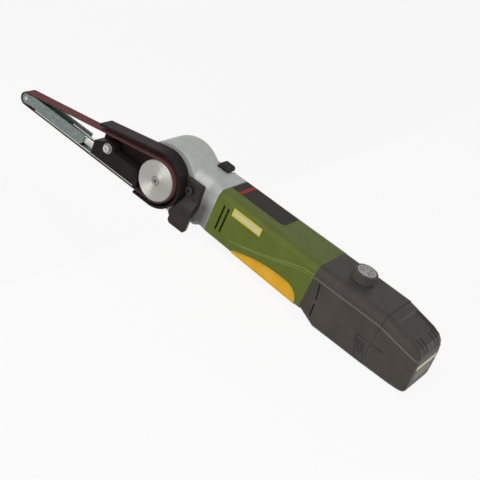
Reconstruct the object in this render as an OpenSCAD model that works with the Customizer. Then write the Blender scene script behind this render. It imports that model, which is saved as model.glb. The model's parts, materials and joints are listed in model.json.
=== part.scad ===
/* [Sanding belt] */
// Width of the sanding belt
belt_w = 10; // [9:0.5:11]
// Thickness of the sanding belt
belt_t = 0.8; // [0.6:0.1:1]
// Radius of the drive roller
roller_r = 15.4; // [14.6:0.1:16]
// Radius of the small roller at the tip
tip_r = 4.2; // [3.9:0.1:4.5]
// Distance along the tool from the drive axis to the tip roller
tip_reach = 131.8; // [124:0.2:140]
// Travel of the sprung fork when the belt is changed
fork_travel = 6; // [4:0.5:8]

/* [Gear head] */
// Height of the drive axis above the bench
axis_h = 24; // [23.5:0.1:25]
// Sideways distance from the tool's middle plane to the middle of the belt
arm_offset = 24; // [23:0.5:26]
// Radius of the gear head's drum
drum_r = 26.2; // [25:0.2:27]
// Distance from the drive axis to the front of the motor housing
head_len = 45.5; // [44:0.5:48]
// Height of the neck's top above the drive axis
neck_top = 20.2; // [19.8:0.1:21]

/* [Motor housing] */
// Length of the green motor housing
housing_len = 89.5; // [86:0.5:94]
// Width of the housing at its front
front_w = 36.8; // [36:0.2:38]
// Width of the housing at its rear, and of the casing
rear_w = 41.4; // [40.6:0.2:42.6]
// Top of the housing's front above the drive axis
top_front = 19.6; // [19:0.1:20]
// Top of the housing's rear above the drive axis
top_rear = 18.8; // [18.4:0.1:19.4]
// Wall thickness of the plastic housings
wall = 2.4; // [2.2:0.1:2.6]
// Angle that the switch paddle is pressed through
paddle_angle = 3.5; // [2:0.25:3.75]

/* [Rear end] */
// Length of the rear casing
casing_len = 55.8; // [54:0.2:60]
// Length of the battery behind the casing
battery_len = 34; // [33:0.5:38]
// Outer radius of the speed knob
knob_r = 8.4; // [7.6:0.1:9]

/* [Hidden] */
$fn = 64;

// Length longer than the tool, for half-planes
far = 400;
// Small overlap that makes cuts clean, and the gap between parts that only pass each other
eps = 0.05;
gap = 0.3;
// Radial play of a shaft in its bore
play = 0.05;
// Straight runs lie this far inside the arcs that they lap into
skin = 0.02;
lap = 0.6;
// Sides of the round corners inside a hull, and the thickness of the slices it spans
hull_fn = 32;
slice = 0.01;

// Stations along the tool, measured from the drive axis
seam_x = head_len + housing_len;
split_x = seam_x + casing_len;
end_x = split_x + 0.2 + battery_len;
flat_x = seam_x + 14;
step_x = head_len - 12;
clamp_x = min(24, step_x - 2.5);
rest_x = (flat_x + split_x) / 2;

// Heights measured from the drive axis
floor_z = -axis_h;
bottom_front = -16.8;
bottom_rear = -18.6;
casing_top = 18.7;
casing_low = -17.8;

// Belt: its plane, its inner radii and its tip
belt_near = -arm_offset - belt_w / 2;
belt_far = -arm_offset + belt_w / 2;
belt_ri = roller_r + 0.25;
tip_ri = tip_r + 0.25;
tip_x = -tip_reach;
tip_z = tip_r - roller_r;
belt_low = -belt_ri;

// Planes of the arm and the head across the tool
wall_near = belt_far + 0.6;
wall_far = wall_near + 1.8;
head_near = wall_far + 0.6;
head_far = 17;

// Guard round the drive roller
guard_r = roller_r + 5.4;
guard_t = 1.8;
guard_near = belt_near + 2;
roof_near = belt_near - 0.3;
roof_x = -60;
roof_slope = 0.2;
roof_z = 11.5;
roof_c = [-1.6, 1.3];
roof_r = (roof_z - roof_slope * (roof_x - roof_c[0]) - roof_c[1]) / sqrt(1 + roof_slope * roof_slope);
roof_a = 90 + atan(roof_slope);
lip_x = -15.5;
taper_x0 = -6;
taper_x1 = 16;

// Arm block, platen and sliding fork
block_x = roof_x;
block_top = -2.1;
platen_t = 0.9;
platen_z = belt_low + 0.35;
block_low = platen_z + platen_t;
bar_r = 3.6;
bar_z = -10.2;
bar_tail = block_x + 18;
spring_end = bar_tail + fork_travel + 9;
fork_rear = -70;
fork_t = 1.2;
fork_top = -5.8;
fork_low = block_low + gap;
screw_x = -46.6;

// Swivel snout that the arm turns on, and the spindle inside it
snout_r = 10.5;
snout_end = belt_near + 7;
hub_near = belt_near + 8.4;
spindle_r = 4;
ring_t = 0.8;

// Gears: a pinion on the motor axis drives a crown wheel on the far side
pinion_teeth = 12;
crown_teeth = 36;
pinion_tip_r = 5.4;
pinion_root_r = 3.8;
crown_tip_y = 4.5;
crown_y = 6.2;
crown_back = 9.8;
lock_back = 12.2;
crown_r = 16;
lock_r = 15;
mesh_r0 = 13.6;
mesh_r1 = 15.4;
cavity_r = 20.5;
cavity_far = 12.7;

// Spindle lock on top of the neck
lock_x = step_x - 5.9;
lock_y = 11.5;
lock_w = 10;
lock_travel = 2.5;
lock_notches = 12;
lock_tip_x = 8.6;
lock_bar_w = 3.2;
lock_bar_z = 12.4;

// Motor, on the tool's own axis
motor_x = head_len + 13;
motor_len = housing_len - 49.5;
motor_end = motor_x + motor_len;
motor_r = min(front_w / 2 - wall - 2.1, -bottom_front - wall - 0.5);
shaft_r = 2;
flange_t = 2.5;
fan_x = head_len + 5.5;
fan_r = motor_r - 0.9;
bearing_x = head_len - 9.5;
head_screw_y = front_w / 2 - 5.9;

// Switch paddle in the housing's belly
pin_x = head_len + 20.5;
pin_y = front_w / 2 - 5.8;
pin_z = -12;
pin_r = 1.25;
paddle_x0 = pin_x + 5;
paddle_end = seam_x - 5;
paddle_x1 = paddle_end - 17;
paddle_x2 = paddle_end - 12;
paddle_top = -5.9;
paddle_rise = 8.6;
paddle_inset = 1.3;
paddle_skin = 1;
paddle_proud = 0.8;
paddle_t = 1.8;
carrier_z = -1;
carrier_x = motor_end + 4.5;
switch_x = paddle_end - 11;
switch_low = carrier_z - 9.8;

// Speed knob, board and battery
knob_x = seam_x + 24.4;
knob_top = 26.8;
board_z = 11.4;
board_t = 1.6;
cell_r = min((rear_w - 5.8) / 4, (casing_top - floor_z - 9.4) / 3.74);
cell_len = 43;
cell_x = split_x - 26;
cell_z = 3.5;
cell_drop = sqrt(3) * (cell_r + 0.05);
stem_x = cell_x - 3;
stem_w = rear_w - 5;
stem_low_w = 2 * cell_r + 5.2;
stem_top = 13.4;
latch_x = split_x - 11.6;
latch_top = -4.4;
latch_low = -19.6;
latch_t = 2;
latch_post_r = 1.6;
latch_post_x = split_x - 4;
latch_post_z = cell_z - cell_drop - 0.65 * cell_r;
latch_post_y = rear_w / 2 - 10.8;
latch_travel = 1.8;
end_slot_w = 1.3;

// Colours as the photograph shows them
green = "#5f6a36";
charcoal = "#44403c";
black = "#2d2a2a";
silver = "#a5a6a2";
steel = "#b9bab8";
zinc = "#7d8c8a";
amber = "#deaf37";
brass = "#b5964a";

// Moves a piece from the drive axis, on the middle plane, to the bench frame
module tool() translate([-rest_x, 0, axis_h]) children();

// Box between two corners
module block(x0, x1, y0, y1, z0, z1) translate([x0, y0, z0]) cube([x1 - x0, y1 - y0, z1 - z0]);

// Outline drawn in x and z, as thick as from y0 to y1
module slab(y0, y1) translate([0, y1, 0]) rotate([90, 0, 0]) linear_extrude(y1 - y0) children();

// Round bars along the three axes
module bar_x(r, x0, x1) translate([x0, 0, 0]) rotate([0, 90, 0]) cylinder(r = r, h = x1 - x0);
module bar_y(r, y0, y1) translate([0, y0, 0]) rotate([-90, 0, 0]) cylinder(r = r, h = y1 - y0);
module bar_z(r, z0, z1) translate([0, 0, z0]) cylinder(r = r, h = z1 - z0);

// Rings along y and x
module ring_y(ro, ri, y0, y1) difference() {
    bar_y(ro, y0, y1);
    bar_y(ri, y0 - eps, y1 + eps);
}
module ring_x(ro, ri, x0, x1) difference() {
    bar_x(ro, x0, x1);
    bar_x(ri, x0 - eps, x1 + eps);
}

// Both sides of the tool's middle plane
module both_sides() for (side = [0, 1]) mirror([0, side, 0]) children();

// Four round corners of a cross-section, for a hull to span
module corners(x, hw, z0, z1, r) {
    for (y = [-hw + r, hw - r], z = [z0 + r, z1 - r])
        translate([x, y, z]) rotate([0, 90, 0]) cylinder(r = r, h = slice, $fn = hull_fn);
}

// Countersunk screw pointing along +x, with its head's face at the origin
module flat_screw(head_r, shank_r, len) {
    rotate([0, 90, 0]) cylinder(r1 = head_r, r2 = shank_r, h = head_r - shank_r);
    bar_x(shank_r, 0, len);
}

// Pan-head cross screw pointing along +y, with its seat at the origin
module pan_screw(head_r, head_h, shank_r, len) {
    slot_w = head_r / 4;
    difference() {
        bar_y(head_r, -head_h, 0);
        for (a = [0, 90]) rotate([0, a, 0])
            translate([-head_r * 0.6, -head_h - eps, -slot_w / 2]) cube([head_r * 1.2, head_h * 0.55, slot_w]);
    }
    bar_y(shank_r, 0, len);
}

// Everything left of two radii: one at the angle up, and one straight down
module wedge(up) polygon([[0, 0], far * [cos(up), sin(up)], [-2 * far, 0], [0, -far]]);

// Everything left of the line through c at the angle a
module left_of(c, a) translate(c) rotate(a - 90) translate([-far, -far]) square([far, 2 * far]);

// Straight run between radii r0 and r1 on two arcs, square to the angle a, lapped into both
module run(c0, r0, c1, r1, t, a) {
    n = [cos(a), sin(a)];
    along = lap * [sin(a), -cos(a)];
    polygon([c0 + (r0 + skin) * n + along, c0 + (r0 + t - skin) * n + along,
             c1 + (r1 + t - skin) * n - along, c1 + (r1 + skin) * n - along]);
}

// Belt seen from the side: an arc on each roller and two straight runs
module belt_outline() {
    tip = [tip_x, tip_z];
    up = atan2(tip_z, tip_x) - acos((belt_ri - tip_ri) / norm(tip));
    difference() {
        circle(r = belt_ri + belt_t);
        circle(r = belt_ri);
        wedge(up);
    }
    translate(tip) intersection() {
        difference() {
            circle(r = tip_ri + belt_t);
            circle(r = tip_ri);
        }
        wedge(up);
    }
    run([0, 0], belt_ri, tip, tip_ri, belt_t, up);
    run(tip, tip_ri, [0, 0], belt_ri, belt_t, -90);
}

// Value at a station of the motor housing, from its values at the front and the rear
function along(x, a, b) = a + (b - a) * (x - head_len) / housing_len;

// Solid form of the motor housing, grown or shrunk, between two stations
module housing_form(grow, x0, x1, low) {
    function low_at(x) = along(x, bottom_front, bottom_rear);
    round_r = 5.5 + grow;
    hull() {
        corners(x0, along(x0, front_w, rear_w) / 2 + grow, low_at(x0) - low,
                along(x0, top_front, top_rear) + grow, round_r);
        corners(x1 - slice, along(x1, front_w, rear_w) / 2 + grow, low_at(x1) - low,
                along(x1, top_front, top_rear) + grow, round_r);
    }
}

// Solid form of the rear casing, shrunk by t
module casing_form(t, x0, x1) {
    round_r = 6 - t;
    hw = rear_w / 2 - t;
    hull() {
        corners(x0, hw, casing_low + t, top_rear - t, round_r);
        corners(flat_x, hw, floor_z + t, casing_top - t, round_r);
        corners(x1 - slice, hw, floor_z + t, casing_top - t, round_r);
    }
}

// Side outline of the switch paddle: a rising edge, a round heel and a straight foot, grown by g
module paddle_outline(g, foot) {
    steps = 8;
    span = paddle_x1 - paddle_x0;
    rise = [for (i = [0:steps]) let (u = 1 - i / steps)
        [paddle_x1 - span * u, paddle_top + g - paddle_rise * u * u]];
    heel_z = 10.1;
    heel = [for (a = [75:-15:0])
        [paddle_x2 + (paddle_end - paddle_x2 + g) * cos(a), paddle_top - heel_z + (heel_z + g) * sin(a)]];
    polygon(concat([[paddle_x0 - g, foot], [paddle_x0 - g, rise[0][1]]], rise,
                   [[paddle_x2, paddle_top + g]], heel, [[paddle_end + g, foot]]));
}

// Gear head

// Four round corners of the neck, the near top one rounder than the rest
neck_r = 5;
neck_near_r = 9;
module neck_section(x, low)
    for (c = [[head_near + neck_r, low + neck_r, neck_r], [head_far - neck_r, low + neck_r, neck_r],
              [head_near + neck_near_r, neck_top - neck_near_r, neck_near_r],
              [head_far - neck_r, neck_top - neck_r, neck_r]])
        translate([x, c[0], c[1]]) rotate([0, 90, 0]) cylinder(r = c[2], h = slice, $fn = hull_fn);

module gear_head() color(silver) tool() {
    round_r = 4;
    neck_low = -20.4;
    flat_z = -22;
    difference() {
        union() {
            difference() {
                union() {
                    bar_y(drum_r, head_near, head_far - round_r);
                    bar_y(drum_r - round_r, head_near, head_far);
                    translate([0, head_far - round_r, 0]) rotate([90, 0, 0])
                        rotate_extrude() translate([drum_r - round_r, 0]) circle(r = round_r);
                }
                block(-drum_r - 1, drum_r + 1, head_near - 1, head_far + 1, -drum_r - 1, flat_z);
            }
            hull() {
                neck_section(2, neck_low);
                neck_section(step_x, neck_low);
                neck_section(step_x + 5, bottom_front);
            }
            slab(head_near + neck_near_r, head_far - neck_r) drum_fillet();
            hull() {
                neck_section(step_x + 2, bottom_front);
                corners(head_len - slice, front_w / 2, bottom_front, top_front, 5.5);
            }
        }
        bar_y(cavity_r, head_near - eps, cavity_far);
        bar_y(6.5, cavity_far - eps, cavity_far + 4);
        bar_x(6, cavity_r - 4, bearing_x + eps);
        bar_x(6.5, bearing_x, bearing_x + 4);
        bar_x(9, bearing_x + 4 - eps, head_len + 1);
        lock_pocket();
        translate([clamp_x, 0, 5.9]) bar_y(2, head_near - 1, head_near + 8);
        for (y = [-1, 1] * head_screw_y, z = [-11.5, 13.5]) translate([0, y, z])
            bar_x(1.6, head_len - 8, head_len + 1);
    }
}

// Hollow fillet between the drum and the top of the neck
module drum_fillet() {
    fillet_r = 10;
    fillet_z = neck_top + fillet_r;
    fillet_x = sqrt(pow(drum_r + fillet_r, 2) - fillet_z * fillet_z);
    touch = drum_r / (drum_r + fillet_r) * [fillet_x, fillet_z];
    difference() {
        polygon([[touch[0] - 4, 0], [touch[0] - 4, touch[1]], touch,
                 [fillet_x, neck_top - skin], [fillet_x, 0]]);
        translate([fillet_x, fillet_z]) circle(r = fillet_r);
    }
}

// Pocket, stem hole and slot for the spindle lock
module lock_pocket() {
    half = lock_w / 2 + gap;
    floor_h = neck_top - 2.8;
    translate([lock_x, lock_y, 0]) {
        block(-half, half, -half, half, floor_h, neck_top + 5);
        bar_z(2.2 + play, lock_bar_z - 3, neck_top);
    }
    block(lock_tip_x - 1, lock_x + 3, lock_y - lock_bar_w / 2 - gap, lock_y + lock_bar_w / 2 + gap,
          lock_bar_z - lock_travel - 0.4, lock_bar_z + 3.2);
}

// Four places round the bearing flange
module flange_places() for (a = [45:90:315])
    rotate([0, a, 0]) translate([16.6, head_near, 0]) rotate([0, 0, 90]) children();

module bearing_flange() color(silver) tool() difference() {
    union() {
        bar_y(cavity_r, head_near, head_near + 3.5);
        bar_y(snout_r, snout_end, head_near + 1);
    }
    bar_y(8, snout_end - eps, snout_end + 5);
    bar_y(spindle_r + 1.5, snout_end, head_near + 4);
    translate([0, hub_near - ring_t - 0.1, 0]) ring_y(snout_r + 1, snout_r - 0.6, 0, ring_t);
    flange_places() flat_screw(2.9, 1.5, 5);
}

module flange_screws() color(steel) tool() flange_places() flat_screw(2.9, 1.5, 3.5);

// Ball bearing with shallow shield grooves, along y from y0
module bearing(ro, ri, w) difference() {
    ring_y(ro, ri, 0, w);
    groove = (ro - ri) / 4;
    for (y = [-eps, w - 0.4]) translate([0, y, 0]) ring_y(ro - groove, ri + groove, 0, 0.4 + eps);
}

module front_bearing() color(steel) tool() translate([0, snout_end, 0]) bearing(8, spindle_r + play, 5);
module rear_bearing() color(steel) tool() translate([0, cavity_far, 0]) bearing(6.5, 2.5 + play, 4);
module pinion_bearing() color(steel) tool()
    translate([bearing_x + 4, 0, 0]) rotate([0, 0, 90]) bearing(6.5, shaft_r + play, 4);

module retaining_ring() color(steel) tool() difference() {
    translate([0, hub_near - ring_t - 0.1, 0]) ring_y(snout_r + 1.4, snout_r - 0.6, 0, ring_t);
    block(-1.5, 1.5, hub_near - 2, hub_near, -snout_r - 3, 0);
}

// Black side bracket: a plate on the head, bent outwards to the tab that the tool stands on
module side_bracket() color(black) tool() {
    sweep_r = guard_r + 0.5;
    plate_top = 13.5;
    plate_near = head_near - 4;
    tab_near = head_near - 9;
    tab_far = tab_near + 4.4;
    difference() {
        intersection() {
            slab(tab_near - 1, head_near + 1)
                polygon([[10, plate_top], [10, -4.5], [18, -4.5], [16.2, -15.2], [16.2, -17], [18.2, -18.4],
                         [18, floor_z + 2.2], [20, floor_z], [step_x, floor_z], [step_x + 1, floor_z + 2],
                         [step_x + 0.7, -4.5], [step_x - 1, plate_top]]);
            // the bend, seen along the tool
            translate([far, 0, 0]) rotate([90, 0, -90]) linear_extrude(2 * far)
                polygon([[-head_near, plate_top + 1], [-plate_near, plate_top + 1], [-plate_near, 0],
                         [-tab_near, -5], [-tab_near, floor_z - 1], [-tab_far, floor_z - 1],
                         [-tab_far, -9], [-head_near, -5]]);
        }
        bar_y(sweep_r, tab_near - 1, head_near + 1);
        translate([clamp_x, 0, 5.9]) bar_y(2, plate_near - 1, head_near + 1);
    }
}

module clamp_screw() color(black) tool()
    translate([clamp_x, head_near - 4, 5.9]) pan_screw(3.2, 2.2, 2, 12);

module lock_button() color(black) tool() translate([lock_x, lock_y, 0]) {
    half = lock_w / 2;
    low = neck_top - 0.2;
    top = neck_top + 3.2;
    bevel = 1.4;
    difference() {
        hull() {
            block(-half, half, -half + bevel, half - bevel, low, top - bevel);
            block(-half + bevel, half - bevel, -half, half, low, top - bevel);
            block(-half + bevel, half - bevel, -half + bevel, half - bevel, low, top);
        }
        bar_z(3.8, low - eps, top - 1);
    }
    bar_z(2.2, lock_bar_z + 2.6, top - 0.5);
}

module lock_bar() color(steel) tool() translate([0, lock_y, lock_bar_z])
    block(lock_tip_x, lock_x + 2.4, -lock_bar_w / 2, lock_bar_w / 2, 0, 2.6);

module lock_spring() color(steel) tool() translate([lock_x, lock_y, 0]) difference() {
    bar_z(3.5, neck_top - 2.8, neck_top + 2.2);
    bar_z(2.6, neck_top - 3, neck_top + 3);
}

// Spindle and drive roller

module spindle() color(steel) tool() difference() {
    union() {
        bar_y(spindle_r, belt_near + 3.5, cavity_far - 0.3);
        bar_y(2.5, 0, cavity_far + 3.8);
    }
    bar_y(2, belt_near, belt_near + 13);
}

module crown_gear() color(steel) tool() difference() {
    union() {
        ring_y(crown_r, spindle_r, crown_y, crown_back);
        ring_y(lock_r, spindle_r, crown_back - eps, lock_back);
        ring_y(8, spindle_r, crown_y - 2, crown_y + eps);
        for (i = [0:crown_teeth - 1]) rotate([0, (i + 0.5) * 360 / crown_teeth, 0])
            block(mesh_r0, mesh_r1, crown_tip_y, crown_y + eps, -0.37, 0.37);
    }
    for (i = [0:lock_notches - 1]) rotate([0, i * 360 / lock_notches, 0])
        block(lock_tip_x - 0.6, lock_tip_x + 3.6, crown_back + eps, lock_back + 1,
              lock_bar_z - lock_travel - 0.6, lock_r + 1);
}

module drive_roller() color("#c8c6be") tool() difference() {
    bar_y(roller_r, belt_near, belt_far);
    difference() {
        bar_y(roller_r - 2.6, belt_near + 3.5, belt_far + 1);
        bar_y(7, belt_near, snout_end - 0.5);
    }
    bar_y(spindle_r, belt_near + 3.5, belt_far + 1);
    translate([0, belt_near, 0]) rotate([0, 0, 90]) flat_screw(3.2, 2, 6);
}

module roller_screw() color(steel) tool() translate([0, belt_near, 0]) difference() {
    rotate([0, 0, 90]) flat_screw(3.2, 2, 12);
    rotate([-90, 0, 0]) translate([0, 0, -eps]) cylinder(r = 1.45, h = 1.6, $fn = 6);
}

// Belt arm

// Side view of the guard, shrunk by t: a ring round the roller that runs into the roof and the lip
module guard_outline(t) {
    dir = [cos(roof_a), sin(roof_a)];
    along = lap * [sin(roof_a), -cos(roof_a)];
    drop = (t + skin) * sqrt(1 + roof_slope * roof_slope);
    open = t > 0 ? 1 : 0;
    low = t > 0 ? -2 * guard_r : block_low;
    foot = skin + t - guard_r;
    difference() {
        circle(r = guard_r - t);
        left_of([0, 0], 90);
    }
    difference() {
        translate(roof_c) circle(r = roof_r - t);
        left_of(roof_c, roof_a);
    }
    polygon([roof_c + (roof_r - t - skin) * dir + along, [roof_x - open, roof_z - roof_slope * open - drop],
             [roof_x - open, low], [lip_x, low], [lip_x, foot], [lap, foot], [lap, 0]]);
}

// Wall of the guard: its outline less the same outline shrunk
module guard_shell() difference() {
    guard_outline(0);
    guard_outline(guard_t);
}

module arm_guard() color(black) tool() difference() {
    union() {
        slab(guard_near, wall_far) guard_shell();
        slab(roof_near, guard_near + eps) intersection() {
            guard_shell();
            left_of([taper_x1, 0], 90);
        }
        slab(wall_near, wall_far) guard_outline(0);
        bar_y(snout_r + 1.8, hub_near, head_near - 0.1);
    }
    bar_y(snout_r + play, hub_near - 1, head_near + 1);
    block(roof_x - 1, taper_x1 + 1, roof_near - 1, guard_near, -far, 0);
    // near edge drawn in from the roof to the rim
    linear_extrude(far)
        polygon([[taper_x0, roof_near - 1], [taper_x0, roof_near], [taper_x1, guard_near],
                 [taper_x1 + 1, guard_near], [taper_x1 + 1, roof_near - 1]]);
}

module arm_block() color(black) tool() difference() {
    boss_r = 5.2;
    boss = [screw_x, block_top];
    nose = [block_x, block_top - 0.9];
    rise = atan2(nose[1] - boss[1], nose[0] - boss[0]) - acos(boss_r / norm(nose - boss));
    union() {
        block(screw_x - 1, -14, belt_near, wall_near, block_low, block_top);
        translate([screw_x, 0, block_top]) bar_y(boss_r, belt_near, wall_near);
        // front of the block, rising from its nose to the boss
        slab(belt_near, wall_near)
            polygon([[block_x, block_low], nose, boss + (boss_r - skin) * [cos(rise), sin(rise)],
                     boss, [screw_x, block_low]]);
    }
    bar_y(belt_ri + belt_t + 0.5, belt_near - 1, wall_near + 1);
    translate([0, -arm_offset, bar_z]) bar_x(bar_r + play, block_x - 1, spring_end);
    translate([screw_x, 0, block_top]) bar_y(1.5, belt_near - 1, belt_far + 1);
}

module arm_washer() color(steel) tool() translate([screw_x, belt_near - 0.8, block_top])
    ring_y(4, 1.5, 0, 0.8);
module arm_screw() color(steel) tool() translate([screw_x, belt_near - 0.8, block_top])
    pan_screw(2.8, 1.8, 1.5, 9);

module platen() color(steel) tool()
    block(tip_x + fork_travel + 5.5, -16.5, belt_near + 0.3, belt_far - 0.3, platen_z, block_low);

module sanding_belt() color("#733e44") tool() slab(belt_near, belt_far) belt_outline();

// Fork cheek: a plate with a round nose on the tip roller's axis
module fork_cheek() {
    nose_r = tip_r - gap;
    translate([tip_x, tip_z]) circle(r = nose_r);
    polygon([[tip_x, tip_z + nose_r], [-124, fork_top], [fork_rear, fork_top], [fork_rear, fork_low + 2],
             [fork_rear - 2, fork_low], [-126, fork_low], [tip_x, tip_z - nose_r]]);
}

module fork() color(zinc) tool() difference() {
    near = belt_near + 0.3;
    far = belt_far - 0.3;
    union() {
        slab(near, near + fork_t) fork_cheek();
        slab(far - fork_t, far) fork_cheek();
        block(-122, fork_rear - 6, near, far, fork_low, fork_low + fork_t);
    }
    translate([tip_x, 0, tip_z]) bar_y(1.5, near - 1, far + 1);
    translate([fork_rear - 8, 0, bar_z]) bar_y(1.2, near - 1, far + 1);
}

module guide_bar() color(zinc) tool() difference() {
    translate([0, -arm_offset, bar_z]) bar_x(bar_r, fork_rear - 16, bar_tail);
    translate([fork_rear - 8, 0, bar_z]) bar_y(1.2, belt_near - 1, belt_far + 1);
    block(fork_rear - 17, fork_rear - 1, belt_near, belt_far, -30, fork_low + fork_t);
    for (side = [-1, 1]) translate([0, -arm_offset + side * (belt_w / 2 - 0.3 - fork_t + 5), 0])
        block(fork_rear - 17, fork_rear + fork_travel + 2, -5, 5, -30, 0);
}

module fork_rivet() color(steel) tool() translate([fork_rear - 8, 0, bar_z])
    bar_y(1.2, belt_near + 0.1, belt_far - 0.1);
module tip_pin() color(steel) tool() translate([tip_x, 0, tip_z])
    bar_y(1.5, belt_near + 0.1, belt_far - 0.1);
module tip_roller() color(steel) tool() translate([tip_x, 0, tip_z])
    ring_y(tip_r, 1.5 + play, belt_near + 0.3 + fork_t + 0.2, belt_far - 0.3 - fork_t - 0.2);

module tension_spring() color(steel) tool() translate([0, -arm_offset, bar_z])
    ring_x(3.1, 2.3, bar_tail, spring_end);

// Motor housing and motor

module motor_housing() color(green) tool() difference() {
    inner_x = head_len + flange_t;
    union() {
        difference() {
            housing_form(0, head_len, seam_x, 0);
            housing_form(-wall, inner_x, seam_x + 1, -wall);
        }
        // tongue that the rear casing is screwed to
        block(seam_x - 6, seam_x + 11, -9, 9, bottom_rear + wall - eps, bottom_rear + wall + 4);
    }
    bar_x(9.5, head_len - 1, inner_x + 1);
    for (y = [-1, 1] * head_screw_y, z = [-11.5, 13.5]) translate([0, y, z])
        bar_x(1.6, head_len - 1, inner_x + 1);
    // vent slots by the fan
    for (x = [7.6, 11.6]) block(head_len + x - 0.8, head_len + x + 0.8, -rear_w, rear_w, -8.3, 12.1);
    // mouth of the paddle, with the flanks thinned behind its edge
    slab(-rear_w, rear_w) paddle_outline(0.5, floor_z);
    intersection() {
        housing_form(-paddle_skin, head_len, seam_x, -paddle_skin);
        block(paddle_x0 + 0.5, paddle_end + 1.2, -rear_w, rear_w, floor_z, paddle_top + 6.5);
    }
    both_sides() translate([pin_x, 0, pin_z]) bar_y(pin_r, front_w / 2 - 4, front_w / 2 - 0.6);
    for (y = [-5, 5]) translate([seam_x + 5, y, 0]) bar_z(1.5, -40, 0);
}

module head_screws() color(steel) tool()
    for (y = [-1, 1] * head_screw_y, z = [-11.5, 13.5]) translate([head_len + flange_t, y, z])
        rotate([0, 0, 90]) pan_screw(2.6, 1.8, 1.6, 10);

module motor_plate() color(steel) tool() difference() {
    hw = front_w / 2 - wall + 0.4;
    block(motor_x - 1.6, motor_x, -hw, hw, -12, 14);
    bar_x(4, motor_x - 3, motor_x + 1);
    for (z = [-8, 8]) translate([0, 0, z]) bar_x(1.5, motor_x - 3, motor_x + 1);
}

module motor_screws() color(steel) tool()
    for (z = [-8, 8]) translate([motor_x - 1.6, 0, z]) rotate([0, 0, -90]) pan_screw(2.4, 1.4, 1.5, 3.4);

module motor_can() color(steel) tool() difference() {
    bar_x(motor_r, motor_x, motor_end);
    bar_x(motor_r - 1, motor_x + 2, motor_end + 1);
    bar_x(3.5, motor_x - 1, motor_x + 3);
    for (z = [-8, 8]) translate([0, 0, z]) bar_x(1.5, motor_x - 1, motor_x + 3);
}

module motor_magnets() color("#55524e") tool() difference() {
    ring_x(motor_r - 1, motor_r - 2.4, motor_x + motor_len / 8, motor_end - 0.22 * motor_len);
    for (side = [0, 1]) mirror([0, 0, side])
        block(motor_x, motor_end, -motor_r, motor_r, motor_r - 5.9, motor_r);
}

module motor_end_bell() color(black) tool() difference() {
    union() {
        bar_x(motor_r, motor_end, motor_end + 4);
        bar_x(motor_r - 1, motor_end - 4, motor_end + 1);
    }
    bar_x(motor_r - 5.9, motor_end - 5, motor_end + 1.5);
    bar_x(shaft_r + play, motor_end, motor_end + 5);
    both_sides() block(motor_end - 5, motor_end - 0.5, 0, motor_r - 1.9, -2, 2);
}

module motor_brushes() color("#3a3836") tool() both_sides()
    block(motor_end - 4, motor_end - 0.5, motor_r - 8.6, motor_r - 1.9, -2, 2);

module motor_shaft() color(steel) tool() bar_x(shaft_r, mesh_r0 - 1, motor_end + 3.5);

module armature() color("#8a5a38") tool() {
    core_end = motor_end - motor_len / 4;
    ring_x(motor_r - 3, shaft_r, motor_x + 0.15 * motor_len, core_end);
    ring_x(motor_r - 8.9, shaft_r, core_end - eps, motor_end - 0.2);
}

module cooling_fan() color(black) tool() {
    blades = 9;
    ring_x(4.5, shaft_r, fan_x, fan_x + 4.5);
    ring_x(fan_r, 4.5 - eps, fan_x + 3.7, fan_x + 4.5);
    for (i = [0:blades - 1]) rotate([i * 360 / blades, 0, 0])
        block(fan_x + 0.3, fan_x + 4, -0.5, 0.5, 4, fan_r - 0.2);
}

module pinion() color(steel) tool() {
    pitch = 360 / pinion_teeth;
    corner = [[pinion_root_r, -8], [pinion_tip_r, -4], [pinion_tip_r, 4], [pinion_root_r, 8]];
    points = [for (i = [0:pinion_teeth - 1], k = corner)
        k[0] * [cos(i * pitch + k[1]), sin(i * pitch + k[1])]];
    difference() {
        union() {
            translate([mesh_r0 - 0.6, 0, 0]) rotate([90, 0, 90])
                linear_extrude(mesh_r1 - mesh_r0 + 0.9) polygon(points);
            bar_x(pinion_root_r, mesh_r1, mesh_r1 + 8);
        }
        bar_x(shaft_r, 0, 40);
    }
}

// Switch paddle

module paddle() color(amber) tool() difference() {
    arm_y = along(paddle_x0 + 2, front_w, rear_w) / 2 - paddle_inset - 0.6;
    union() {
        difference() {
            intersection() {
                slab(-rear_w, rear_w) paddle_outline(0, floor_z);
                housing_form(-paddle_inset, paddle_x0 - 2, paddle_end + 4, paddle_proud);
            }
            difference() {
                housing_form(-paddle_inset - paddle_t, paddle_x0 + 2, paddle_end - 2.4, paddle_proud - 2.2);
                block(0, paddle_end + 5, -30, 30, 0, 40);
            }
        }
        both_sides() {
            block(pin_x - 2.4, paddle_x0 + 9, pin_y + 0.4, pin_y + 2.8, pin_z - 1.7, pin_z + 1.7);
            block(paddle_x0 + 2, paddle_x0 + 9, pin_y + 0.4, arm_y, pin_z - 1.7, pin_z + 1.7);
        }
        // peg that reaches the switch when the paddle is pressed home
        translate([switch_x, 0, 0]) bar_z(2, -18, switch_low - 0.15 - (switch_x - pin_x) * tan(paddle_angle));
    }
    both_sides() translate([pin_x, 0, pin_z]) bar_y(pin_r + play, pin_y - 2, rear_w);
    bar_x(motor_r + 0.8, motor_x, motor_end + 5);
}

module paddle_pins() color(steel) tool() both_sides()
    translate([pin_x, 0, pin_z]) bar_y(pin_r, pin_y, front_w / 2 - 0.6);

module paddle_spring() color(steel) tool() translate([carrier_x + 3.5, 0, 0]) difference() {
    bar_z(2.6, -16.5, carrier_z);
    bar_z(1.9, -17, carrier_z + 1);
}

module switch_carrier() color(black) tool() {
    hw = along(carrier_x, front_w, rear_w) / 2 - wall + 0.1;
    block(carrier_x, paddle_end - 1, -hw, hw, carrier_z, carrier_z + 2);
}

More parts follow.
